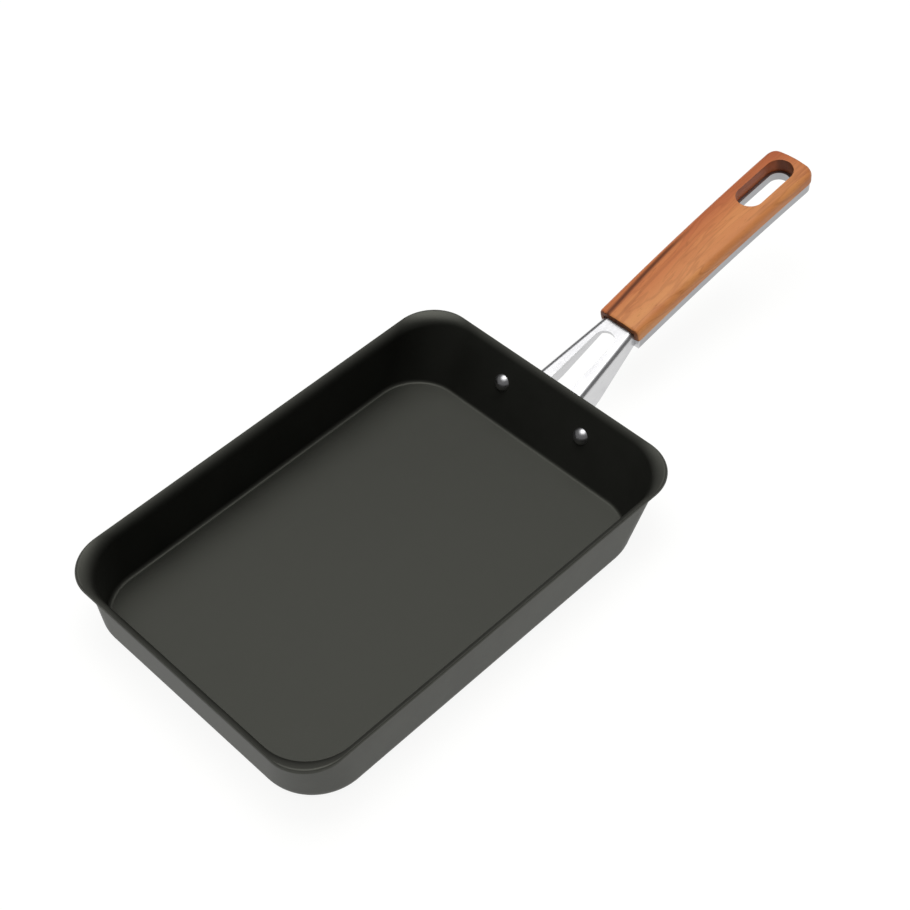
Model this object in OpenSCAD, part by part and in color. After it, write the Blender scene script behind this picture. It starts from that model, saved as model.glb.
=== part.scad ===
// Rectangular rolled-omelette pan: pressed steel body, forked stamped bracket, wooden grip.
// Millimetres. Origin at the centre of the flat bottom, +X towards the handle, +Z up.

/* [Pan body] */
// Length over the rim, along the handle
pan_len = 190; // [150:1:230]
// Width over the rim
pan_wid = 134.4; // [100:0.2:180]
// Height from the table to the top of the rim
pan_depth = 28; // [24:0.5:45]
// Thickness of the pressed sheet
sheet_t = 1.3; // [0.8:0.1:1.8]
// Plan radius of the rim's corners
rim_corner_r = 17; // [12:0.5:28]
// Plan radius of the corners just above the bottom bend
base_corner_r = 22; // [14:0.5:30]
// Outer radius of the bend between bottom and wall
bend_r = 6; // [3:0.5:9]
// Outward lean of the two sides and the far end
side_lean = 1; // [0.5:0.5:8]
// Outward lean of the wall that carries the handle
handle_lean = 27; // [8:1:32]
// Inner radius of the flared lip
lip_r = 5.5; // [3.5:0.5:8]
// Angle the lip is turned outwards from upright
lip_turn = 65; // [45:1:85]

/* [Rivets] */
// Distance between the two rivets
rivet_gap = 42; // [34:1:52]
// Height of the rivets above the table
rivet_z = 15.5; // [13:0.5:17]
// Diameter of the rivet shank
rivet_d = 4; // [3:0.5:5]
// Diameter of the domed head inside the pan
dome_d = 7; // [6:0.5:9]
// Height of the domed head
dome_h = 2.2; // [1.4:0.1:3]
// Diameter of the upset tail outside
tail_d = 6.4; // [5.6:0.2:8]
// Height of the upset tail
tail_h = 1.4; // [0.8:0.1:2]

/* [Handle bracket] */
// Thickness of the bracket's sheet
bracket_t = 1.6; // [1:0.1:2]
// Upward slope of the neck
neck_rise = 13; // [6:0.5:18]
// Height of the neck's upper face where it passes under the rim
neck_z = 21.2; // [19:0.2:22]
// Width over the fork where it passes under the rim
fork_w = 23.8; // [20:0.2:30]
// Width over the neck where it enters the grip
neck_w = 15.8; // [14:0.2:18]
// Outer radius of the neck's folded edges
fold_r = 2.6; // [2:0.1:4]
// Width of the open slot at its round end
slot_w = 9; // [6:0.2:10]
// Distance from the slot's round end to the grip
slot_land = 5; // [3:0.5:10]
// Depth of the turned-down flanges at the grip
flange_d = 6.6; // [5:0.2:8]
// Fall of the flanges' lower edge towards the pan, in degrees
flange_fall = 28; // [22:1:34]
// Height of the feet that are riveted to the wall
foot_h = 13; // [10:0.5:14]

/* [Grip] */
// Distance from the centre of the pan to the front of the grip
grip_front = 132.5; // [122:0.5:150]
// Length of the grip along its curve
grip_len = 110; // [90:1:130]
// Radius of the grip's gentle upward bow
bow_r = 1050; // [600:10:2000]
// Slope of the grip at the middle of its length
grip_rise = 8.7; // [5:0.1:14]
// Height of the grip's centre line at its front
grip_z = 27.6; // [26:0.2:30]
// Width of the grip at its front
grip_w_front = 20.6; // [19:0.2:26]
// Width of the grip at its butt
grip_w_butt = 22.6; // [20:0.2:30]
// Height of the wood above the steel tang
wood_h = 6.5; // [5.5:0.1:9]
// Radius of the wood's upper edges
edge_r = 3; // [1:0.1:4]
// Crown of the wood's upper face
crown_h = 0.5; // [0.1:0.1:1.2]
// Plan radius of the butt's corners
butt_r = 5; // [3:0.5:8]

/* [Tang and hanging slot] */
// Depth of the steel tang's edge below the wood
tang_h = 3.9; // [3.4:0.1:6]
// Step of the tang in from the wood's sides
tang_step = 0.4; // [0:0.1:1.5]
// Length of the hanging slot through the wood
hang_len = 30.5; // [20:0.5:40]
// Width of the hanging slot through the wood
hang_w = 12; // [8:0.5:13]
// Distance from the hanging slot to the end of the butt
hang_land = 4.4; // [3:0.2:12]
// Ledge of the tang inside the hanging slot
hang_ledge = 1.2; // [0.4:0.1:1.8]

/* [Screws] */
// Diameter of the two screws that hold the wood
screw_d = 3; // [2.5:0.5:4]
// Diameter of their heads
screw_head_d = 6; // [5:0.5:7]
// Distance from the grip's front to the first screw
screw_front = 26; // [20:1:34]
// Distance between the two screws
screw_pitch = 36; // [24:1:38]

/* [Fits] */
// Clearance between parts that fit together
fit_gap = 0.1; // [0.05:0.05:0.3]

/* [Hidden] */
$fn = 64;
eps = 0.01;
corner_steps = 10;
bend_steps = 6;
lip_steps = 6;
bow_fn = 1440;
reach = 40;
// Radius of the knee in the flanges' lower edge
knee_r = 18;
// How far the neck's plate and its flanges run on behind the rim, where the wall cuts them off
plate_back = 16;
flange_back = 20;
// How much the neck's slot widens on each side towards the pan
slot_flare = 0.8;
// Length of the step from the neck down to the tang, inside the grip
joggle_len = 9;
// Wall of the tang's collar round the hanging slot
collar_t = 1.2;
// Rounding of the wood at its front, at its butt and where it sits on the tang
front_r = 1.2;
butt_edge_r = 2.4;
seat_r = 0.4;
// Cut of the wood's recess ahead of and below the grip's front, and its room over the step's end
recess_front = 3;
recess_low = 8;
step_room = 0.2;
// Bite of the screws in the wood, and height of their heads
screw_grip = 4.2;
screw_head_h = 1.7;
// Overrun of a cut past a face
past = 1;

// ---- Pan section: outward offset from the rim and height, for a wall that leans by a ----
lip_c = [(lip_r - sheet_t) * cos(lip_turn), pan_depth - lip_r * sin(lip_turn)];
function lip_pt(r, phi) = lip_c + r * [-cos(phi), sin(phi)];
function bend_c(a) = let (p = lip_pt(lip_r - sheet_t, a),
                          s = (p[1] + bend_r * sin(a) - bend_r) / cos(a))
    [p[0] - s * sin(a) - bend_r * cos(a), bend_r];
function bend_pt(a, r, k) = bend_c(a) + r * [sin(k * (90 - a)), -cos(k * (90 - a))];
function wall_section(a) = concat(
    [for (i = [0:bend_steps]) bend_pt(a, bend_r, i / bend_steps)],
    [for (i = [0:lip_steps]) lip_pt(lip_r - sheet_t, a + (lip_turn - a) * i / lip_steps)],
    [for (i = [lip_steps:-1:0]) lip_pt(lip_r, a + (lip_turn - a) * i / lip_steps)],
    [for (i = [bend_steps:-1:0]) bend_pt(a, bend_r - sheet_t, i / bend_steps)]);
side_section = wall_section(side_lean);
handle_section = wall_section(handle_lean);
section_n = len(side_section);
bend_n = bend_steps + 1;
bend_out = bend_pt(side_lean, bend_r, 1)[0];
function plan_r(k) = (k < bend_n || k >= section_n - bend_n)
    ? base_corner_r + side_section[k][0] - bend_out
    : rim_corner_r + side_section[k][0];
// One ring round the pan: a rounded rectangle whose handle end follows its own section
function pan_ring(k) = let (r = plan_r(k), s = side_section[k], h = handle_section[k],
                            y = pan_wid / 2 + s[0] - r,
                            xs = pan_len / 2 + s[0] - r, xh = pan_len / 2 + h[0] - r)
    [for (q = [0:3], i = [0:corner_steps])
        let (t = 90 * (q + i / corner_steps), near = max(cos(t), 0))
        [(q == 0 || q == 3 ? xh : -xs) + r * cos(t), (q < 2 ? y : -y) + r * sin(t),
         s[1] + (h[1] - s[1]) * near * near]];

// ---- Outer face of the handle wall ----
wall_top = lip_pt(lip_r - sheet_t, handle_lean) + [pan_len / 2, 0];
function wall_x(z) = wall_top[0] - (wall_top[1] - z) * tan(handle_lean);

// ---- Neck ----
rim_x = pan_len / 2;
neck_run = (grip_front - rim_x) / cos(neck_rise);
neck_taper = atan((fork_w - neck_w) / 2 / neck_run);
function neck_top(x) = neck_z + (x - rim_x) * tan(neck_rise);
function neck_half(s) = fork_w / 2 - s * tan(neck_taper);
flange_z = rivet_z - foot_h / 2 * cos(handle_lean);
flange_end_z = neck_top(grip_front) - flange_d;
flange_knee = grip_front - (flange_end_z - flange_z) / tan(flange_fall);

// ---- Grip: a bow whose centre lies far below the handle ----
grip_h = wood_h + tang_h;
bow_len_deg = grip_len / bow_r * 180 / PI;
front_slope = grip_rise + bow_len_deg / 2;
bow_c = [grip_front + bow_r * sin(front_slope), grip_z - bow_r * cos(front_slope)];
function grip_slope(u) = front_slope - u / bow_r * 180 / PI;
function grip_pt(u, h) = bow_c + (bow_r + h) * [-sin(grip_slope(u)), cos(grip_slope(u))];
top_h = grip_h / 2;
joint_h = tang_h - top_h;
tang_top = joint_h - fit_gap;
hang_u = grip_len - hang_land - hang_len / 2;
function grip_half(u) = (grip_w_front + (grip_w_butt - grip_w_front) * u / grip_len) / 2;
function end_drop(u, r) = u < grip_len - r ? 0 : r - sqrt(max(0, r * r - pow(u - grip_len + r, 2)));
function front_drop(u, r) = u > r ? 0 : r - sqrt(max(0, r * r - pow(r - u, 2)));
edge_steps = 6;
crown_steps = 4;
// Outline of the wood across the grip, anticlockwise seen from the butt
function wood_outline(u) = let (w = grip_half(u) - end_drop(u, butt_r) - front_drop(u, front_r),
        t = top_h - end_drop(u, butt_edge_r) - front_drop(u, front_r) / 2, r = edge_r)
    concat(
        [for (i = [0:2]) [w - seat_r + seat_r * sin(45 * i), joint_h + seat_r - seat_r * cos(45 * i)]],
        [for (i = [0:edge_steps]) let (a = 90 * i / edge_steps)
            [w - r + r * cos(a), t - crown_h - r + r * sin(a)]],
        [for (i = [1:crown_steps - 1]) let (y = (w - r) * (1 - 2 * i / crown_steps))
            [y, t - crown_h * pow(y / (w - r), 2)]],
        [for (i = [edge_steps:-1:0]) let (a = 90 * i / edge_steps)
            [-(w - r + r * cos(a)), t - crown_h - r + r * sin(a)]],
        [for (i = [2:-1:0]) [-(w - seat_r + seat_r * sin(45 * i)), joint_h + seat_r - seat_r * cos(45 * i)]]);
grip_stations = concat(
    [for (i = [0:3]) front_r * (1 - cos(30 * i))],
    [for (i = [1:9]) front_r + (grip_len - butt_r - front_r) * i / 9],
    [for (i = [1:8]) grip_len - butt_r + butt_r * sin(90 * i / 8 * 0.98)]);

// Skins a list of rings that have the same number of points
module skin(rings) {
    n = len(rings[0]);
    m = len(rings);
    polyhedron(
        points = [for (ring = rings, p = ring) p],
        faces = concat(
            [[for (j = [0:n - 1]) j]],
            [for (i = [0:m - 2], j = [0:n - 1]) let (k = (j + 1) % n) [i * n + j, (i + 1) * n + j, (i + 1) * n + k]],
            [for (i = [0:m - 2], j = [0:n - 1]) let (k = (j + 1) % n) [i * n + j, (i + 1) * n + k, i * n + k]],
            [[for (j = [n - 1:-1:0]) (m - 1) * n + j]]),
        convexity = 8);
}

// Places children on the handle wall's outer face, +X outwards, +Z up the wall
module on_wall() translate([wall_x(rivet_z), 0, rivet_z]) rotate([0, handle_lean, 0]) children();

// Places children on the grip's centre line, +X along it, +Z out of its upper face
module on_grip(u) translate([grip_pt(u, 0)[0], 0, grip_pt(u, 0)[1]]) rotate([0, -grip_slope(u), 0]) children();

// Places children on the neck's upper face where it passes under the rim
module on_neck() translate([rim_x, 0, neck_z]) rotate([0, -neck_rise, 0]) children();

// A layer of the grip between two heights, bowed with it
module bowed(h0, h1)
    translate([bow_c[0], 0, bow_c[1]]) rotate([90, 0, 0])
        rotate([0, 0, 90 + front_slope - bow_len_deg - past])
            rotate_extrude(angle = bow_len_deg + 2 * past, $fn = bow_fn)
                translate([bow_r + h0, -reach / 2]) square([h1 - h0, reach]);

// Plan of the grip, drawn in by a given amount
module grip_plan(inset) {
    x0 = grip_pt(0, joint_h)[0] + inset;
    x1 = grip_pt(grip_len, joint_h)[0] - inset;
    r = butt_r - inset;
    w0 = grip_half(0) - inset;
    w1 = grip_half(grip_len) - inset;
    union() {
        polygon([[x0, -w0], [x1 - r, -w1], [x1 - r, w1], [x0, w0]]);
        translate([x1 - r - eps, -w1 + r]) square([r + eps, 2 * (w1 - r)]);
        for (s = [-1, 1]) translate([x1 - r, s * (w1 - r)]) circle(r);
    }
}

// A slot with round ends, centred, lying along X
module slot_shape(l, w) {
    square([l - w, w], center = true);
    for (s = [-1, 1]) translate([s * (l - w) / 2, 0]) circle(d = w);
}

module pan_body() color([0.16, 0.16, 0.15]) difference() {
    skin([for (k = [0:section_n - 1]) pan_ring(k)]);
    for (s = [-1, 1]) on_wall() translate([0, s * rivet_gap / 2, 0]) rotate([0, 90, 0])
        cylinder(d = rivet_d + 2 * fit_gap, h = reach, center = true);
}

// Side view of the fork's legs, between the wall and the grip
module leg_side() {
    turn = flange_fall;
    polygon(concat(
        [[wall_x(flange_z), flange_z]],
        [for (i = [0:6]) let (a = turn * i / 6)
            [flange_knee - knee_r * tan(turn / 2) + knee_r * sin(a), flange_z + knee_r * (1 - cos(a))]],
        [[grip_front, flange_end_z], [grip_front + bracket_t, flange_end_z],
         [grip_front + bracket_t, neck_top(grip_front) + reach], [wall_x(neck_top(grip_front) + reach),
          neck_top(grip_front) + reach]]));
}

// Section of one leg: plate, fold and flange, outer face at zero
module leg_section() {
    translate([-fold_r - past, -bracket_t]) square([past + eps, bracket_t]);
    intersection() {
        translate([-fold_r, -fold_r]) difference() {
            circle(fold_r);
            circle(fold_r - bracket_t);
        }
        translate([-fold_r, -fold_r]) square(fold_r);
    }
    translate([-bracket_t, -reach]) square([bracket_t, reach - fold_r + eps]);
}

module neck_plate() {
    front = neck_run + bracket_t;
    slot_end = neck_run - slot_land - slot_w / 2;
    translate([0, 0, -bracket_t]) linear_extrude(bracket_t) difference() {
        polygon([[-plate_back, -neck_half(-plate_back) + fold_r], [front, -neck_half(front) + fold_r],
                 [front, neck_half(front) - fold_r], [-plate_back, neck_half(-plate_back) - fold_r]]);
        translate([slot_end, 0]) circle(d = slot_w);
        polygon([[slot_end, -slot_w / 2], [slot_end, slot_w / 2],
                 [-plate_back - past, slot_w / 2 + slot_flare], [-plate_back - past, -slot_w / 2 - slot_flare]]);
    }
}

module fork() intersection() {
    on_neck() union() {
        neck_plate();
        for (s = [0, 1]) mirror([0, s, 0]) translate([0, fork_w / 2, 0]) rotate([0, 0, -neck_taper])
            translate([-flange_back, 0, 0]) rotate([90, 0, 90]) linear_extrude(flange_back + neck_run + 2 * bracket_t) leg_section();
    }
    rotate([90, 0, 0]) linear_extrude(reach * 2, center = true) leg_side();
}

// Foot that lies against the wall, from a leg outwards round its rivet
module foot(s) on_wall() rotate([90, 0, 90]) linear_extrude(bracket_t) union() {
    translate([s * rivet_gap / 2, 0]) circle(d = foot_h);
    inner = neck_half(wall_x(rivet_z) - rim_x) - bracket_t;
    translate([s > 0 ? inner : -rivet_gap / 2, -foot_h / 2]) square([rivet_gap / 2 - inner, foot_h]);
}

// Plate that steps down inside the grip from the neck to the tang
module joggle() {
    a = [grip_front, neck_top(grip_front)];
    b = grip_pt(joggle_len, tang_top);
    drop = [0, bracket_t / cos(neck_rise)];
    rotate([90, 0, 0]) linear_extrude(neck_w - 2 * fold_r, center = true)
        polygon([a, [a[0] + bracket_t, neck_top(a[0] + bracket_t)], b, b - drop, a - drop]);
}

module tang() difference() {
    union() {
        difference() {
            intersection() {
                bowed(-top_h, tang_top);
                linear_extrude(4 * reach) grip_plan(tang_step);
            }
            difference() {
                intersection() {
                    bowed(-top_h - past, tang_top - bracket_t);
                    linear_extrude(4 * reach) grip_plan(tang_step + bracket_t);
                }
                on_grip(hang_u) linear_extrude(reach, center = true)
                    slot_shape(hang_len - 2 * hang_ledge + 2 * collar_t, hang_w - 2 * hang_ledge + 2 * collar_t);
            }
        }
        joggle();
    }
    on_grip(hang_u) linear_extrude(reach, center = true)
        slot_shape(hang_len - 2 * hang_ledge, hang_w - 2 * hang_ledge);
    for (i = [0, 1]) on_grip(screw_front + i * screw_pitch)
        cylinder(d = screw_d + 2 * fit_gap, h = reach, center = true);
}

module handle_bracket() color([0.82, 0.82, 0.83]) difference() {
    union() {
        fork();
        foot(1);
        foot(-1);
        tang();
    }
    for (s = [-1, 1]) on_wall() translate([0, s * rivet_gap / 2, 0]) rotate([0, 90, 0])
        cylinder(d = rivet_d + 2 * fit_gap, h = foot_h, center = true);
}

// Rivet with a domed head inside the pan and an upset tail behind the foot
module rivet(s) on_wall() translate([0, s * rivet_gap / 2, 0]) rotate([0, 90, 0]) {
    dome_sphere = (pow(dome_d / 2, 2) + pow(dome_h, 2)) / (2 * dome_h);
    translate([0, 0, -sheet_t]) intersection() {
        translate([0, 0, -dome_h + dome_sphere]) sphere(dome_sphere);
        translate([0, 0, -dome_h]) cylinder(d = dome_d + 1, h = dome_h);
    }
    translate([0, 0, -sheet_t - eps]) cylinder(d = rivet_d, h = sheet_t + bracket_t + 2 * eps);
    translate([0, 0, bracket_t]) cylinder(d = tail_d, h = tail_h);
}
module rivet_left() color([0.85, 0.85, 0.86]) rivet(1);
module rivet_right() color([0.85, 0.85, 0.86]) rivet(-1);

module wooden_grip() color([0.72, 0.43, 0.24]) difference() {
    skin([for (u = grip_stations)
        [for (p = wood_outline(u)) let (q = grip_pt(u, p[1])) [q[0], p[0], q[1]]]]);
    // Recess for the neck and its step
    a = [grip_front, neck_top(grip_front) + fit_gap];
    b = grip_pt(joggle_len, tang_top);
    rotate([90, 0, 0]) linear_extrude(neck_w + 2 * fit_gap, center = true)
        polygon([[a[0] - recess_front, neck_top(a[0] - recess_front) + fit_gap],
                 [a[0] + bracket_t + fit_gap, neck_top(a[0] + bracket_t) + fit_gap],
                 b + [fit_gap, fit_gap + step_room], b + [fit_gap, -recess_front], a - [recess_front, recess_low]]);
    on_grip(hang_u) linear_extrude(reach, center = true) slot_shape(hang_len, hang_w);
    for (i = [0, 1]) on_grip(screw_front + i * screw_pitch)
        translate([0, 0, joint_h - past]) cylinder(d = screw_d + 2 * fit_gap, h = screw_grip + past + fit_gap);
}

// Pan-head screw driven up through the tang into the wood
module grip_screw(i) on_grip(screw_front + i * screw_pitch) {
    translate([0, 0, tang_top - bracket_t - screw_head_h]) cylinder(d = screw_head_d, h = screw_head_h);
    translate([0, 0, tang_top - bracket_t - eps]) cylinder(d = screw_d, h = bracket_t + fit_gap + screw_grip);
}
module grip_screw_front() color("silver") grip_screw(0);
module grip_screw_rear() color("silver") grip_screw(1);

pan_body();
handle_bracket();
rivet_left();
rivet_right();
wooden_grip();
grip_screw_front();
grip_screw_rear();
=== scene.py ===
"""Studio picture of a rectangular rolled-omelette pan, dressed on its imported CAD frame."""
import logging
import math
from dataclasses import dataclass, field
from enum import Enum
from typing import Iterable, Optional, Sequence, Union

import bmesh
import bpy
from mathutils import Matrix, Vector


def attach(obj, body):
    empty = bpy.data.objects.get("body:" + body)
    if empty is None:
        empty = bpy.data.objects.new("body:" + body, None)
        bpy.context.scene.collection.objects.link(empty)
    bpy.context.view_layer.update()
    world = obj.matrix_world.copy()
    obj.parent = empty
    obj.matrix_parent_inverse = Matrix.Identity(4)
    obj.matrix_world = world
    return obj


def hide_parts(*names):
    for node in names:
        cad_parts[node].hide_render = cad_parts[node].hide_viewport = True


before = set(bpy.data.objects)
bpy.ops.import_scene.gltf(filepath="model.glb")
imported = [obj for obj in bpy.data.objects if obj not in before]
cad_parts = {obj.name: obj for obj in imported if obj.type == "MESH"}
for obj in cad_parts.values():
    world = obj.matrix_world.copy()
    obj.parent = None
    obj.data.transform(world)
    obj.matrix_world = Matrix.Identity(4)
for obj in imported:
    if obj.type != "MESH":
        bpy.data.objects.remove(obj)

log = logging.getLogger("pan")

MM = 0.001
BODY = "root"
WELD_GAP = 0.005 * MM
WHITE = (1.0, 1.0, 1.0)

Number = Union[int, float]
Colour = tuple[float, float, float]


class Slot(Enum):
    """Material slots of the record."""

    COATING = "coated_steel"
    BRACKET = "bracket_steel"
    RIVET = "rivet_steel"
    WOOD = "grip_wood"
    SCREW = "screw_steel"


@dataclass(frozen=True)
class Grain:
    """Size and character of a noise: features per metre along each axis, octaves and their strength."""

    scale: tuple[float, float, float]
    detail: float = 3.0
    rough: float = 0.55
    warp: float = 0.0


def even(scale: float) -> tuple[float, float, float]:
    """Returns the same scale for all three axes.

    Args:
        scale: Features per metre.
    """
    return (scale, scale, scale)


# Shader expressions


class Term:
    """A shader socket that can stand in a Python expression."""

    def __init__(self, net: "Net", socket: bpy.types.NodeSocket) -> None:
        """Wraps a socket.

        Args:
            net: The node network that the socket belongs to.
            socket: The output socket.
        """
        self.net = net
        self.socket = socket

    def _math(self, op: str, *others: "TermLike") -> "Term":
        """Returns the result of a Math node whose first operand is this value.

        Args:
            op: The operation's name.
            others: The other operands.
        """
        return self.net.math(op, self, *others)

    def __add__(self, other: "TermLike") -> "Term":
        """Returns the sum."""
        return self._math("ADD", other)

    def __radd__(self, other: "TermLike") -> "Term":
        """Returns the sum."""
        return self.net.math("ADD", other, self)

    def __sub__(self, other: "TermLike") -> "Term":
        """Returns the difference."""
        return self._math("SUBTRACT", other)

    def __rsub__(self, other: "TermLike") -> "Term":
        """Returns the difference."""
        return self.net.math("SUBTRACT", other, self)

    def __mul__(self, other: "TermLike") -> "Term":
        """Returns the product."""
        return self._math("MULTIPLY", other)

    def __rmul__(self, other: "TermLike") -> "Term":
        """Returns the product."""
        return self.net.math("MULTIPLY", other, self)

    def __truediv__(self, other: "TermLike") -> "Term":
        """Returns the quotient."""
        return self._math("DIVIDE", other)

    def __rtruediv__(self, other: "TermLike") -> "Term":
        """Returns the quotient."""
        return self.net.math("DIVIDE", other, self)

    def __abs__(self) -> "Term":
        """Returns the size without its sign."""
        return self._math("ABSOLUTE")

    def ramp(self, low: Number, high: Number) -> "Term":
        """Returns a smooth step from 0 at low to 1 at high.

        Args:
            low: The value that gives 0.
            high: The value that gives 1.
        """
        node = self.net.node("ShaderNodeMapRange", {"interpolation_type": "SMOOTHSTEP"},
                             {"Value": self, "From Min": low, "From Max": high})
        return Term(self.net, node.outputs["Result"])

    def parts(self) -> tuple["Term", "Term", "Term"]:
        """Returns the X, Y and Z parts of a vector."""
        node = self.net.node("ShaderNodeSeparateXYZ", {}, {"Vector": self})
        return tuple(Term(self.net, out) for out in node.outputs)


TermLike = Union[Term, Number]


class Net:
    """The node network of a material, a world or a geometry modifier."""

    def __init__(self, owner: Union[bpy.types.Material, bpy.types.World, bpy.types.NodeTree]) -> None:
        """Empties a network.

        Args:
            owner: The material or world whose network it is, or the network itself.
        """
        self.owner = owner
        if not isinstance(owner, bpy.types.NodeTree):
            owner.use_nodes = True
        self.tree = owner if isinstance(owner, bpy.types.NodeTree) else owner.node_tree
        self.tree.nodes.clear()

    def node(self, kind: str, settings: Optional[dict] = None,
             inputs: Optional[dict] = None) -> bpy.types.Node:
        """Makes one node: its settings first, then its values and links.

        Args:
            kind: The node's type name.
            settings: Properties of the node.
            inputs: A value or Term for each input, by name or number.

        Returns:
            The new node.
        """
        made = self.tree.nodes.new(kind)
        for key, value in (settings or {}).items():
            setattr(made, key, value)
        for key, value in (inputs or {}).items():
            self.put(made.inputs[key], value)
        return made

    def put(self, socket: bpy.types.NodeSocket, value: object) -> None:
        """Links a Term to an input socket, or sets its value.

        Args:
            socket: The input socket.
            value: A Term, a number, a vector or a colour.
        """
        if isinstance(value, Term):
            self.tree.links.new(value.socket, socket)
        elif isinstance(value, bpy.types.NodeSocket):
            self.tree.links.new(value, socket)
        elif socket.type == "RGBA" and len(value) == 3:
            socket.default_value = (*value, 1.0)
        else:
            socket.default_value = value

    def math(self, op: str, *values: TermLike) -> Term:
        """Returns the result of one Math node.

        Args:
            op: The operation's name.
            values: Its operands.
        """
        node = self.node("ShaderNodeMath", {"operation": op}, dict(enumerate(values)))
        return Term(self, node.outputs[0])

    def place(self) -> Term:
        """Returns the point in the object's own metres."""
        return Term(self, self.node("ShaderNodeTexCoord").outputs["Object"])

    def facing(self) -> Term:
        """Returns the surface normal in the object's axes."""
        return Term(self, self.node("ShaderNodeTexCoord").outputs["Normal"])

    def stretch(self, vector: Term, factors: Sequence[float]) -> Term:
        """Returns a vector multiplied part by part.

        Args:
            vector: The vector.
            factors: One factor for each axis.
        """
        node = self.node("ShaderNodeVectorMath", {"operation": "MULTIPLY"}, {0: vector, 1: tuple(factors)})
        return Term(self, node.outputs[0])

    def vector(self, x: TermLike, y: TermLike, z: TermLike) -> Term:
        """Returns a vector made of three values."""
        return Term(self, self.node("ShaderNodeCombineXYZ", {}, {0: x, 1: y, 2: z}).outputs[0])

    def along(self, vector: Term, axis: Sequence[float]) -> Term:
        """Returns how much of a vector lies along an axis.

        Args:
            vector: The vector.
            axis: The axis.
        """
        node = self.node("ShaderNodeVectorMath", {"operation": "DOT_PRODUCT"},
                         {0: vector, 1: tuple(Vector(axis).normalized())})
        return Term(self, node.outputs["Value"])

    def noise(self, at: Term, grain: Grain) -> Term:
        """Returns fractal noise around 0.5.

        Args:
            at: Where it is read.
            grain: Its size and character.
        """
        node = self.node("ShaderNodeTexNoise", {"noise_dimensions": "3D"},
                         {"Vector": self.stretch(at, grain.scale), "Scale": 1.0, "Detail": grain.detail,
                          "Roughness": grain.rough, "Distortion": grain.warp})
        return Term(self, node.outputs["Fac"])

    def cells(self, at: Term, scale: float) -> Term:
        """Returns the distance to the nearest of many scattered points.

        Args:
            at: Where it is read.
            scale: Points per unit of length.
        """
        node = self.node("ShaderNodeTexVoronoi", {"feature": "F1"}, {"Vector": at, "Scale": scale})
        return Term(self, node.outputs["Distance"])

    def blend(self, low: Union[Colour, Term], high: Union[Colour, Term], share: TermLike) -> Term:
        """Returns a colour between two others.

        Args:
            low: The colour at share 0.
            high: The colour at share 1.
            share: How much of high there is.
        """
        made = self.node("ShaderNodeMix", {"data_type": "RGBA", "clamp_factor": True})
        factor, first, second = (made.inputs[i] for i in (0, 6, 7))
        for socket, value in ((factor, share), (first, low), (second, high)):
            self.put(socket, value)
        return Term(self, made.outputs[2])

    def bump(self, height: Term, depth: float, strength: float = 1.0) -> Term:
        """Returns a normal disturbed by a height.

        Args:
            height: The height, in units of depth.
            depth: The distance, in metres, that a height of 1 stands for.
            strength: Share of the effect.
        """
        node = self.node("ShaderNodeBump", {}, {"Strength": strength, "Distance": depth, "Height": height})
        return Term(self, node.outputs["Normal"])

    def principled(self, **inputs: object) -> bpy.types.Material:
        """Closes the network with a Principled shader.

        Args:
            inputs: Its inputs, with _ for each space in a name.

        Returns:
            The finished material.
        """
        named = {key.replace("_", " "): value for key, value in inputs.items()}
        shader = self.node("ShaderNodeBsdfPrincipled", {}, named)
        self.node("ShaderNodeOutputMaterial", {}, {"Surface": shader.outputs[0]})
        return self.owner


# Finishes


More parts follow.
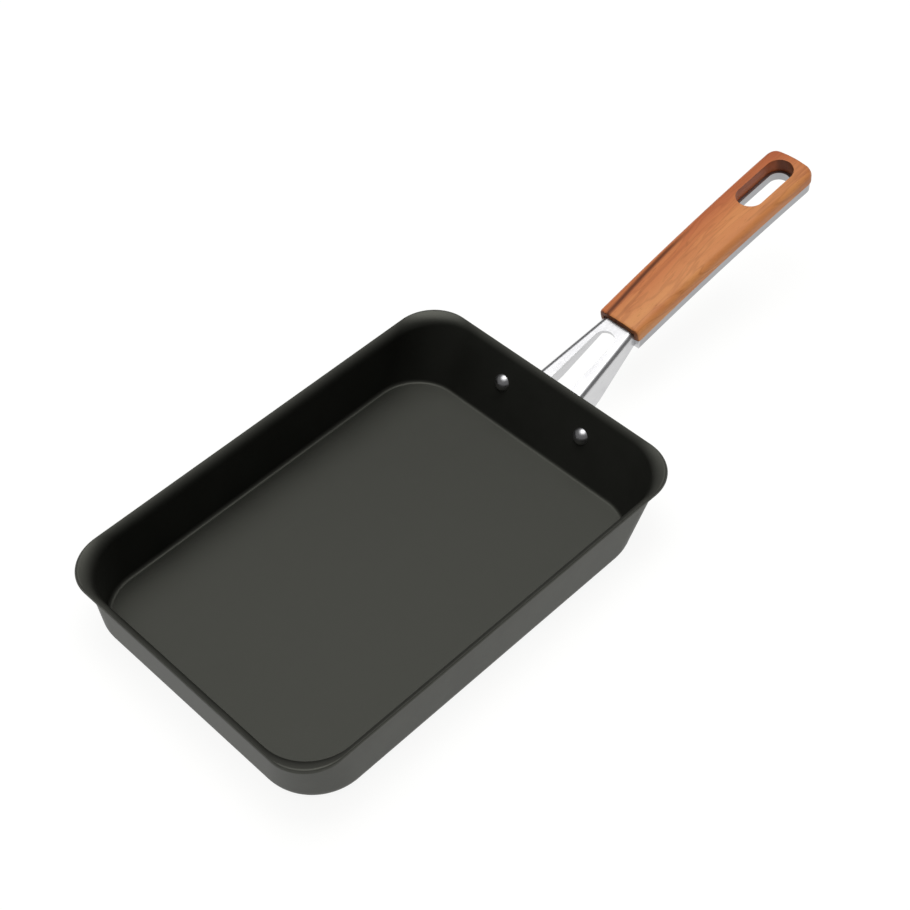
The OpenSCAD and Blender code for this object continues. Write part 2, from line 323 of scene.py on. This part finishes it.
@dataclass(frozen=True)
class Coating:
    """Matt dark coating baked on pressed steel; its outer walls carry painted light, standing for the white
    floor's reflection.
    """

    dark: Colour = (0.0058, 0.0060, 0.0049)
    light: Colour = (0.0120, 0.0123, 0.0104)
    # Painted light: the outer walls are lightened to stand for the white floor's reflection.
    painted_floor_light: Colour = (0.062, 0.063, 0.056)
    # Lighter tone for real wear marks and for the painted highlight along the rim.
    wear_and_rim_highlight: Colour = (0.075, 0.075, 0.066)
    sheen: tuple[float, float, float, float] = (0.98, 1.0, 0.88, 1.0)
    specular: float = 0.46
    rough: float = 0.46
    mottle: Grain = Grain(even(34.0), 4.0, 0.6)
    speckle: Grain = Grain(even(1500.0), 2.0, 0.7)
    rubs: Grain = Grain((18.0, 420.0, 60.0), 3.0, 0.6, 0.4)
    tooth: Grain = Grain(even(900.0))
    tooth_depth: float = 0.04 * MM
    fleck_scale: float = 900.0
    half_width: float = 67.0 * MM
    rim_low: float = 25.0 * MM
    rim_high: float = 28.0 * MM

    def material(self) -> bpy.types.Material:
        """Builds the coating: mottled tone, fine speckle, a toothed surface, faint rubbed marks, painted
        light on the outer walls and a rim lightened partly by wear and partly by a painted highlight.
        """
        net = Net(bpy.data.materials.new(Slot.COATING.value))
        at = net.place()
        x, y, z = at.parts()
        nx, ny, nz = net.facing().parts()
        # Mask of the outer faces, where the painted floor light goes.
        out = ((x * nx + y * ny) / self.half_width - nz).ramp(0.1, 0.4)
        mottle = net.noise(at, self.mottle)
        speckle = net.noise(at, self.speckle)
        rubs = net.noise(at, self.rubs).ramp(0.66, 0.82)
        flecks = 1.0 - net.cells(at, self.fleck_scale).ramp(0.08, 0.2)
        patch = mottle.ramp(0.3, 0.7)
        tone = net.blend(self.dark, self.light, patch * 0.6 + speckle * 0.4)
        # Painted light on the outer walls, standing for the reflected white floor.
        tone = net.blend(tone, self.painted_floor_light, out * (0.5 + 0.5 * patch + (speckle - 0.5) * 0.5))
        # The rim is lightened partly as wear and partly as a painted highlight; rubs and flecks are real
        # wear.
        rim = z.ramp(self.rim_low, self.rim_high)
        tone = net.blend(tone, self.wear_and_rim_highlight, rim * (0.24 + 0.2 * mottle) + rubs * 0.03 + flecks * 0.04)
        rough = self.rough + (mottle - 0.5) * 0.14 + (speckle - 0.5) * 0.1 - rubs * 0.05 + out * 0.06
        grit = speckle * 0.7 + net.noise(at, self.tooth) * 0.6
        return net.principled(Base_Color=tone, Roughness=rough, Specular_IOR_Level=self.specular,
                              Specular_Tint=self.sheen, Normal=net.bump(grit, self.tooth_depth, 0.5))


@dataclass(frozen=True)
class Steel:
    """Bright steel with fine lines from its polishing, with painted shade on its upward faces and on the
    strip under the wood.
    """

    slot: Slot
    tone: Colour = (0.62, 0.62, 0.63)
    shade: Colour = (0.42, 0.42, 0.44)
    # Painted shade for faces turned up.
    painted_top_shade: Colour = (0.33, 0.33, 0.34)
    # Painted shade for the steel strip under the wooden grip.
    under_wood_shade: Colour = (0.30, 0.30, 0.31)
    band_from: float = 133.0 * MM
    rough: float = 0.32
    lines: Grain = Grain((40.0, 2600.0, 1400.0), 3.0, 0.6)
    stain: Grain = Grain(even(60.0), 4.0, 0.6)
    wave: Grain = Grain(even(190.0), 2.0)
    speck_scale: float = 700.0
    depth: float = 0.012 * MM

    def material(self) -> bpy.types.Material:
        """Builds the steel: polishing lines, faint stains, specks, small dents, and painted shade on upward
        faces and under the wood.
        """
        net = Net(bpy.data.materials.new(self.slot.value))
        at = net.place()
        along = at.parts()[0]
        up = net.facing().parts()[2]
        grain = net.noise(at, self.lines)
        stain = net.noise(at, self.stain)
        specks = 1.0 - net.cells(at, self.speck_scale).ramp(0.05, 0.16)
        wear = stain.ramp(0.45, 0.85) * 0.45 + grain.ramp(0.5, 0.9) * 0.3 + specks * 0.12
        tone = net.blend(self.tone, self.shade, wear)
        # Painted shade: faces turned up are darkened.
        tone = net.blend(tone, self.painted_top_shade, up.ramp(0.6, 0.97) * (0.75 + (stain - 0.5) * 0.5))
        # Painted shade on the steel strip under the wood, from band_from on.
        tone = net.blend(tone, self.under_wood_shade, along.ramp(self.band_from, self.band_from + MM) * 0.8)
        rough = self.rough + (grain - 0.5) * 0.16 + (stain - 0.5) * 0.14 + specks * 0.08
        height = grain * 0.8 + net.noise(at, self.wave) * 1.6
        return net.principled(Base_Color=tone, Metallic=1.0, Roughness=rough,
                              Normal=net.bump(height, self.depth, 0.7))


ROUND_GRAIN = Grain(even(900.0), 3.0, 0.6)


@dataclass(frozen=True)
class Wood:
    """Reddish brown wood with a long grain under thin satin lacquer."""

    pale: Colour = (0.70, 0.300, 0.102)
    warm: Colour = (0.56, 0.175, 0.060)
    red: Colour = (0.40, 0.095, 0.042)
    # Dark brown for the real streak and pores, and for painted shade on the front end and downward faces.
    dark: Colour = (0.100, 0.024, 0.007)
    line: Colour = (0.28, 0.078, 0.022)
    bands: Grain = Grain((1.0, 250.0, 130.0), 2.0, 0.5, 0.25)
    fibres: Grain = Grain((9.0, 170.0, 130.0), 5.0, 0.65, 0.2)
    pores: Grain = Grain((90.0, 2100.0, 1500.0), 2.0, 0.6)
    cloud: Grain = Grain((26.0, 90.0, 90.0))
    drift: Grain = Grain((14.0, 30.0, 30.0), 2.0)
    band_sway: float = 10.0 * MM
    band_slant: float = 0.04
    front: float = 132.5 * MM
    butt: float = 241.3 * MM
    streak_y: float = 5.4 * MM
    streak_slope: float = 0.055
    streak_half: float = 1.35 * MM
    streak_length: float = 58.0 * MM
    streak_fade: float = 22.0 * MM
    streak_sway: float = 4.0 * MM
    second_offset: float = 4.2 * MM
    second_half: float = 0.7 * MM
    rough: float = 0.44
    specular: float = 0.16
    lacquer: float = 0.05
    lacquer_rough: float = 0.35
    depth: float = 0.05 * MM

    def _streaks(self, net: Net, x: Term, y: Term, drift: Term, fibres: Term) -> Term:
        """Returns how dark the long streak and its faint neighbour are.

        Args:
            net: The material's network.
            x: Distance along the pan.
            y: Distance across it.
            drift: Slow noise around 0.
            fibres: The fibres' noise.
        """
        run = x - self.front
        path = y - self.streak_y - drift * self.streak_sway - run * self.streak_slope
        fade = 1.0 - run.ramp(self.streak_length - self.streak_fade, self.streak_length)
        up = net.facing().parts()[2].ramp(0.2, 0.6)
        main = (1.0 - (abs(path) / self.streak_half).ramp(0.1, 1.15)) * fade * up
        second = (1.0 - (abs(path + self.second_offset) / self.second_half).ramp(0.2, 1.4)) * fade
        return main * (0.7 + 0.4 * fibres) + second * 0.2

    def material(self) -> bpy.types.Material:
        """Builds the wood: growth bands, long fibres, open pores, one dark streak, painted shade on the front
        end and on downward faces, and lacquer.
        """
        net = Net(bpy.data.materials.new(Slot.WOOD.value))
        at = net.place()
        x, y, z = at.parts()
        nx, _, nz = net.facing().parts()
        drift = net.noise(at, self.drift) - 0.5
        band_at = net.vector(x * 9.0 + z * 30.0, y + drift * self.band_sway - x * self.band_slant, z)
        bands = net.noise(band_at, self.bands)
        fibres = net.noise(at, self.fibres)
        pores = net.noise(at, self.pores).ramp(0.60, 0.74)
        cloud = net.noise(at, self.cloud)
        lines = 1.0 - abs(bands - 0.5).ramp(0.0, 0.045)
        right = (0.0 - y).ramp(-10.0 * MM, 7.0 * MM)
        left = y.ramp(0.5 * MM, 9.0 * MM) * x.ramp(self.front + 30.0 * MM, self.front + 60.0 * MM)
        end = x.ramp(self.butt - 16.0 * MM, self.butt)
        tone = net.blend(self.warm, self.pale, right * 0.7 + (bands.ramp(0.35, 0.7) - 0.5) * 0.35
                         + (cloud - 0.5) * 0.6)
        tone = net.blend(tone, self.red, left * 0.42 + cloud.ramp(0.56, 0.72) * 0.3 + end * 0.35)
        tone = net.blend(tone, self.line, lines * 0.24 + fibres.ramp(0.5, 0.76) * 0.32)
        # Painted shade on the front end face and on faces turned down.
        turned_away_shade = (0.0 - nx).ramp(0.5, 0.9) + (0.0 - nz).ramp(0.2, 0.8)
        streaks = self._streaks(net, x, y, drift, fibres)
        tone = net.blend(tone, self.dark, streaks + pores * 0.22 + turned_away_shade * 0.75)
        rough = self.rough + (fibres - 0.5) * 0.18 + pores * 0.12 + (cloud - 0.5) * 0.1
        height = fibres * 0.6 - pores * 0.8 - lines * 0.2
        return net.principled(Base_Color=tone, Roughness=rough, Specular_IOR_Level=self.specular,
                              Coat_Weight=self.lacquer, Coat_Roughness=self.lacquer_rough,
                              Normal=net.bump(height, self.depth, 0.6))


# Mesh helpers


def finish_mesh(name: str, verts: Sequence[Sequence[float]], faces: Sequence[Sequence[int]],
                angle: float = 34.0) -> bpy.types.Object:
    """Makes an object with smooth faces that are sharp where they meet steeply.

    Args:
        name: The object's name.
        verts: Its points, in metres.
        faces: Its faces.
        angle: The angle, in degrees, above which an edge is sharp.

    Returns:
        The new object.
    """
    mesh = bpy.data.meshes.new(name)
    mesh.from_pydata([tuple(v) for v in verts], [], [tuple(f) for f in faces])
    work = bmesh.new()
    work.from_mesh(mesh)
    bmesh.ops.recalc_face_normals(work, faces=work.faces)
    for edge in work.edges:
        edge.smooth = len(edge.link_faces) == 2 and edge.calc_face_angle(0.0) < math.radians(angle)
    for face in work.faces:
        face.smooth = True
    work.to_mesh(mesh)
    work.free()
    made = bpy.data.objects.new(name, mesh)
    bpy.context.scene.collection.objects.link(made)
    return made


def skin(rings: Sequence[Sequence[Sequence[float]]]) -> tuple[list, list]:
    """Joins rings of equal length into one closed surface.

    Args:
        rings: The rings, each a list of points.

    Returns:
        The points and the faces.
    """
    count = len(rings[0])
    verts = [point for ring in rings for point in ring]
    faces: list[list[int]] = [list(range(count))[::-1]]
    for i in range(len(rings) - 1):
        for j in range(count):
            k = (j + 1) % count
            faces.append([i * count + j, i * count + k, (i + 1) * count + k, (i + 1) * count + j])
    faces.append([(len(rings) - 1) * count + j for j in range(count)])
    return verts, faces


def rounder(degrees: float = 32.0) -> bpy.types.NodeTree:
    """Makes the geometry network that shades gentle edges smooth and leaves steep ones sharp.

    Args:
        degrees: The angle above which an edge is sharp.

    Returns:
        The network.
    """
    tree = bpy.data.node_groups.new("rounder", "GeometryNodeTree")
    for way in ("INPUT", "OUTPUT"):
        tree.interface.new_socket("Geometry", in_out=way, socket_type="NodeSocketGeometry")
    net = Net(tree)
    start = net.node("NodeGroupInput")
    angle = net.node("GeometryNodeInputMeshEdgeAngle")
    steep = net.node("FunctionNodeCompare", {"data_type": "FLOAT", "operation": "GREATER_THAN"},
                     {0: angle.outputs["Unsigned Angle"], 1: math.radians(degrees)})
    soft = net.node("GeometryNodeSetShadeSmooth", {"domain": "FACE"},
                    {"Geometry": start.outputs[0], "Shade Smooth": True})
    hard = net.node("GeometryNodeSetShadeSmooth", {"domain": "EDGE"},
                    {"Geometry": soft.outputs[0], "Selection": steep.outputs[0], "Shade Smooth": False})
    net.node("NodeGroupOutput", {}, {0: hard.outputs[0]})
    return tree


def dress(node: str, material: bpy.types.Material, shading: bpy.types.NodeTree) -> bpy.types.Object:
    """Gives a CAD node its finish and smooths its shading.

    Args:
        node: The node's name.
        material: Its material.
        shading: The network that smooths it.

    Returns:
        The node's object.
    """
    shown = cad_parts[node]
    for place in shown.material_slots:
        place.link = "OBJECT"
        place.material = material
    weld = shown.modifiers.new("weld", "WELD")
    weld.merge_threshold = WELD_GAP
    shown.modifiers.new("rounder", "NODES").node_group = shading
    normals = shown.modifiers.new("normals", "WEIGHTED_NORMAL")
    normals.keep_sharp = True
    log.info("dressed %s", node)
    return shown


# The object


@dataclass(frozen=True)
class PanSizes:
    """Sizes of the pan body, in millimetres and degrees."""

    length: float = 190.0
    width: float = 134.4
    depth: float = 28.0
    sheet: float = 1.3
    rim_r: float = 17.0
    base_r: float = 22.0
    bend_r: float = 6.0
    inner_bend_r: float = 1.8
    side_lean: float = 1.0
    handle_lean: float = 27.0
    lip_r: float = 5.5
    lip_turn: float = 65.0


@dataclass
class PanBody:
    """The pressed pan body, drawn round its rim as rings."""

    sizes: PanSizes = field(default_factory=PanSizes)
    corner_steps: int = 28
    bend_steps: int = 10
    lip_steps: int = 10
    edge_steps: int = 4
    edge_round: float = 0.35

    def _lip(self, radius: float, turn: float) -> Vector:
        """Returns a point of the flared lip: outward offset from the rim, and height.

        Args:
            radius: Distance from the lip's centre.
            turn: Angle from upright, in degrees.
        """
        s = self.sizes
        centre = Vector(((s.lip_r - s.sheet) * math.cos(math.radians(s.lip_turn)),
                         s.depth - s.lip_r * math.sin(math.radians(s.lip_turn))))
        turn = math.radians(turn)
        return centre + radius * Vector((-math.cos(turn), math.sin(turn)))

    def _bend(self, lean: float, share: float, inner: bool) -> Vector:
        """Returns a point of the bend between bottom and wall.

        Args:
            lean: The wall's outward lean, in degrees.
            share: 0 at the bottom to 1 at the wall.
            inner: Whether it is the inner face.
        """
        s = self.sizes
        radius, base = (s.inner_bend_r, s.sheet) if inner else (s.bend_r, 0.0)
        top = self._lip(s.lip_r if inner else s.lip_r - s.sheet, lean)
        tilt = math.radians(lean)
        run = (top.y + radius * math.sin(tilt) - base - radius) / math.cos(tilt)
        centre = Vector((top.x - run * math.sin(tilt) - radius * math.cos(tilt), base + radius))
        turn = share * (math.pi / 2 - tilt)
        return centre + radius * Vector((math.sin(turn), -math.cos(turn)))

    def section(self, lean: float) -> list[Vector]:
        """Returns the wall's section: outward offset from the rim, and height.

        Args:
            lean: The wall's outward lean, in degrees.
        """
        s = self.sizes
        outer, inner = s.lip_r - s.sheet, s.lip_r
        turns = [lean + (s.lip_turn - lean) * i / self.lip_steps for i in range(self.lip_steps + 1)]
        bends = [i / self.bend_steps for i in range(self.bend_steps + 1)]
        half = s.sheet / 2
        back = self.edge_round * half
        mid = self._lip((outer + inner) / 2, s.lip_turn)
        way = math.radians(90.0 - s.lip_turn)
        along = Vector((math.cos(way), math.sin(way)))
        across = Vector((math.sin(way), -math.cos(way)))
        spins = [math.pi * i / (self.edge_steps + 1) for i in range(1, self.edge_steps + 1)]
        nose = [mid + across * half * math.cos(a) - along * back * (1.0 - math.sin(a)) for a in spins]
        return ([self._bend(lean, b, False) for b in bends] + [self._lip(outer, t) for t in turns[:-1]]
                + [self._lip(outer, s.lip_turn) - along * back] + nose
                + [self._lip(inner, s.lip_turn) - along * back] + [self._lip(inner, t) for t in turns[-2::-1]]
                + [self._bend(lean, b, True) for b in bends[::-1]])

    def build(self, finish: bpy.types.Material) -> bpy.types.Object:
        """Builds the body in place of its CAD node.

        Args:
            finish: The coating.

        Returns:
            The new object.
        """
        s = self.sizes
        side, handle = self.section(s.side_lean), self.section(s.handle_lean)
        bends = self.bend_steps + 1
        bend_out = self._bend(s.side_lean, 1.0, False).x
        lip_in = self._lip(s.lip_r, s.side_lean).x
        rings = []
        for k, (a, b) in enumerate(zip(side, handle)):
            low = k < bends or k >= len(side) - bends
            flare = 0.0 if low else min(1.0, max(0.0, 1.0 - a.x / lip_in))
            r = (s.base_r - bend_out) * (1.0 - flare) + s.rim_r * flare + a.x
            ring = []
            for quarter in range(4):
                for i in range(self.corner_steps + 1):
                    t = math.pi / 2 * (quarter + i / self.corner_steps)
                    near = max(math.cos(t), 0.0)
                    x = s.length / 2 + b.x - r if quarter in (0, 3) else -(s.length / 2 + a.x - r)
                    y = (1 if quarter < 2 else -1) * (s.width / 2 + a.x - r)
                    ring.append(((x + r * math.cos(t)) * MM, (y + r * math.sin(t)) * MM,
                                 (a.y + (b.y - a.y) * near * near) * MM))
            rings.append(ring)
        made = finish_mesh("pan_body_pressed", *skin(rings))
        made.data.materials.append(finish)
        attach(made, BODY)
        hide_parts("pan_body")
        log.info("built %s with %d faces", made.name, len(made.data.polygons))
        return made


@dataclass
class Handle:
    """The bracket, its rivets and screws, and the wooden grip."""

    bracket: Steel = Steel(Slot.BRACKET)
    rivet: Steel = Steel(Slot.RIVET, (0.55, 0.55, 0.56), (0.38, 0.38, 0.4), rough=0.3, lines=ROUND_GRAIN)
    screw: Steel = Steel(Slot.SCREW, rough=0.36, lines=ROUND_GRAIN)
    wood: Wood = Wood()

    def build(self) -> None:
        """Dresses the handle's CAD nodes."""
        shading = rounder()
        pieces = {
            self.bracket: ("handle_bracket",),
            self.rivet: ("rivet_left", "rivet_right"),
            self.screw: ("grip_screw_front", "grip_screw_rear"),
            self.wood: ("wooden_grip",),
        }
        for finish, nodes in pieces.items():
            material = finish.material()
            for node in nodes:
                dress(node, material, shading)


# The studio


@dataclass(frozen=True)
class PhotoCamera:
    """The camera, fitted to the photograph's rim and bottom edges."""

    place: tuple[float, float, float] = (-0.2607, -0.3307, 0.5340)
    azimuth: float = -42.35
    elevation: float = 48.54
    roll: float = -3.35
    focal_px: float = 1809.1
    picture_px: int = 910
    sensor_mm: float = 36.0
    nearest: float = 10.0 * MM

    def build(self) -> bpy.types.Object:
        """Makes the camera and sets it as the scene's own."""
        a, e, r = (math.radians(v) for v in (self.azimuth, self.elevation, self.roll))
        back = Vector((math.sin(a) * math.cos(e), -math.cos(a) * math.cos(e), math.sin(e)))
        level = Vector((math.cos(a), math.sin(a), 0.0))
        up = back.cross(level)
        right = level * math.cos(r) + up * math.sin(r)
        up = back.cross(right)
        lens = bpy.data.cameras.new("camera")
        lens.sensor_width = self.sensor_mm
        lens.lens = self.sensor_mm * self.focal_px / self.picture_px
        lens.clip_start = self.nearest
        made = bpy.data.objects.new("camera", lens)
        turn = Matrix((right, up, back)).transposed().to_4x4()
        made.matrix_world = Matrix.Translation(self.place) @ turn
        bpy.context.scene.collection.objects.link(made)
        bpy.context.scene.camera = made
        return made


@dataclass(frozen=True)
class Lamp:
    """One soft area lamp."""

    name: str
    place: tuple[float, float, float]
    aim: tuple[float, float, float]
    size: tuple[float, float]
    power: float
    tint: Colour = WHITE

    def build(self) -> bpy.types.Object:
        """Makes the lamp."""
        data = bpy.data.lights.new(self.name, "AREA")
        data.shape = "RECTANGLE"
        data.size, data.size_y = self.size
        data.energy = self.power
        data.color = self.tint
        made = bpy.data.objects.new(self.name, data)
        made.location = self.place
        made.rotation_euler = (Vector(self.aim) - Vector(self.place)).to_track_quat("-Z", "Y").to_euler()
        bpy.context.scene.collection.objects.link(made)
        return made


@dataclass
class Studio:
    """White sweep, white surroundings and soft lamps."""

    floor_half: float = 3.0
    below: float = 0.2 * MM
    glow_share: float = 0.86
    glow: float = 1.05
    dim: float = 0.18
    bright: float = 2.1
    bright_way: tuple[float, float, float] = (0.12, 0.13, 0.98)
    bright_edge: tuple[float, float] = (0.72, 1.0)
    lamps: Iterable[Lamp] = (
        Lamp("key", (0.25, 0.2, 1.5), (0.02, 0.0, 0.0), (0.8, 0.8), 7.0, (1.0, 0.995, 0.97)),
    )

    def floor(self) -> bpy.types.Object:
        """Makes the floor: partly lit, partly glowing, so its shadows stay pale."""
        h = self.floor_half
        corners = [(x, y, -self.below) for x, y in ((-h, -h), (h, -h), (h, h), (-h, h))]
        made = finish_mesh("floor", corners, [(0, 1, 2, 3)])
        net = Net(bpy.data.materials.new("floor"))
        lit = net.node("ShaderNodeBsdfDiffuse", {}, {"Color": (0.93, 0.93, 0.91)})
        glow = net.node("ShaderNodeEmission", {}, {"Color": (1.0, 1.0, 0.995), "Strength": self.glow})
        mixed = net.node("ShaderNodeMixShader", {},
                         {0: self.glow_share, 1: lit.outputs[0], 2: glow.outputs[0]})
        net.node("ShaderNodeOutputMaterial", {}, {"Surface": mixed.outputs[0]})
        made.data.materials.append(net.owner)
        return made

    def world(self) -> None:
        """Sets the surroundings: white to the camera, and as light bright only above and behind."""
        net = Net(bpy.data.worlds.new("studio"))
        way = Term(net, net.node("ShaderNodeTexCoord").outputs["Generated"])
        share = net.along(way, self.bright_way).ramp(*self.bright_edge)
        seen, dim, bright = (net.node("ShaderNodeBackground", {}, {"Color": WHITE, "Strength": power})
                             for power in (1.0, self.dim, self.bright))
        light = net.node("ShaderNodeMixShader", {}, {0: share, 1: dim.outputs[0], 2: bright.outputs[0]})
        path = net.node("ShaderNodeLightPath")
        mixed = net.node("ShaderNodeMixShader", {},
                         {0: path.outputs["Is Camera Ray"], 1: light.outputs[0], 2: seen.outputs[0]})
        net.node("ShaderNodeOutputWorld", {}, {"Surface": mixed.outputs[0]})
        bpy.context.scene.world = net.owner

    def build(self) -> None:
        """Builds the whole studio and sets the view transform."""
        self.floor()
        self.world()
        for lamp in self.lamps:
            lamp.build()
        bpy.context.scene.view_settings.view_transform = "Standard"


def main() -> None:
    """Builds the picture piece by piece."""
    logging.basicConfig(level=logging.INFO, format="%(name)s: %(message)s")
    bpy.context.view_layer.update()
    PhotoCamera().build()
    Studio().build()
    PanBody().build(Coating().material())
    Handle().build()
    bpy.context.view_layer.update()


if __name__ == "__main__":
    main()
